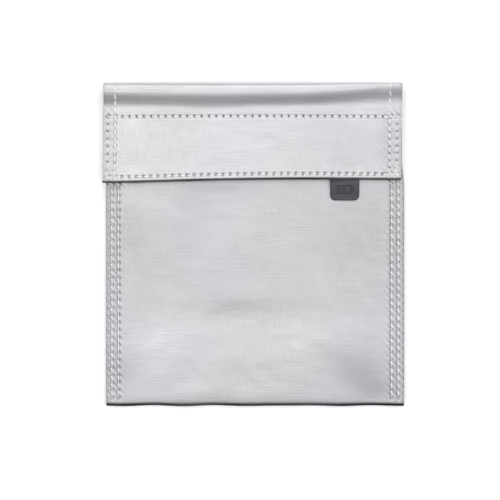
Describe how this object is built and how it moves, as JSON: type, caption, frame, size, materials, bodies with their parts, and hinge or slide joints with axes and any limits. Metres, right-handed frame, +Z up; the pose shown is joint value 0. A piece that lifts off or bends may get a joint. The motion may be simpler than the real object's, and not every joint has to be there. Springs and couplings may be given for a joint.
{
  "type": "battery safety bag",
  "caption": "Flat fire-resistant pouch of silver coated cloth for lithium batteries, lined, double stitched at the sides, closed by a fold-over flap with hook-and-loop tape and a pull label.",
  "frame": {"origin": "middle of the back panel's underside, on the surface that the closed bag lies on", "axes": "+Z up, out of the front panel; +Y towards the rolled fold at the mouth end; +X to the right seen from above with the fold at the far side"},
  "size_m": [0.201, 0.2168, 0.018],
  "materials": {
    "silver_cloth": "satin",
    "lining_cloth": "matte",
    "sewing_thread": "satin",
    "hook_tape": "matte",
    "loop_tape": "matte",
    "label_rubber": "satin"
  },
  "bodies": {
    "pouch": {"back_panel": "silver_cloth", "bottom_fold": "silver_cloth", "front_panel": "silver_cloth", "lining_back": "lining_cloth", "lining_front": "lining_cloth", "mouth_hem": "silver_cloth", "mouth_thread": "sewing_thread", "seam_allowance_left": "silver_cloth", "seam_allowance_right": "silver_cloth", "seam_thread_left_outer": "sewing_thread", "seam_bobbin_left_outer": "sewing_thread", "seam_thread_left_inner": "sewing_thread", "seam_bobbin_left_inner": "sewing_thread", "seam_thread_right_outer": "sewing_thread", "seam_bobbin_right_outer": "sewing_thread", "seam_thread_right_inner": "sewing_thread", "seam_bobbin_right_inner": "sewing_thread", "loop_tape": "loop_tape", "loop_tape_thread": "sewing_thread"},
    "roll": {"fold_cloth": "silver_cloth", "fold_lining": "lining_cloth", "fold_thread_left": "sewing_thread", "fold_thread_right": "sewing_thread"},
    "flap": {"flap_cloth": "silver_cloth", "flap_lining": "lining_cloth", "flap_hem_left": "silver_cloth", "flap_hem_right": "silver_cloth", "flap_hem_bottom_left": "silver_cloth", "flap_hem_bottom_right": "silver_cloth", "label_tongue": "label_rubber", "hook_tape": "hook_tape", "hook_tape_bobbin": "sewing_thread", "hook_tape_thread": "sewing_thread", "flap_thread_left": "sewing_thread", "flap_thread_right": "sewing_thread"},
    "label": {"pull_tab": "label_rubber"}
  },
  "joints": [
    {"name": "roll_fold", "type": "hinge", "parent": "pouch", "child": "roll", "pos_m": [0, 0.1051, 0.0028], "axis": [-1, 0, 0], "range_deg": [0, 87]},
    {"name": "flap_fold", "type": "hinge", "parent": "roll", "child": "flap", "pos_m": [0, 0.1051, 0.0144], "axis": [-1, 0, 0], "range_deg": [0, 87]},
    {"name": "label_lift", "type": "hinge", "parent": "flap", "child": "label", "pos_m": [0.0607, 0.0425, 0.0113], "axis": [-1, 0, 0], "range_deg": [0, 90]}
  ],
  "couplings": [
    {"joint": "flap_fold", "follows": "roll_fold", "ratio": 1}
  ]
}
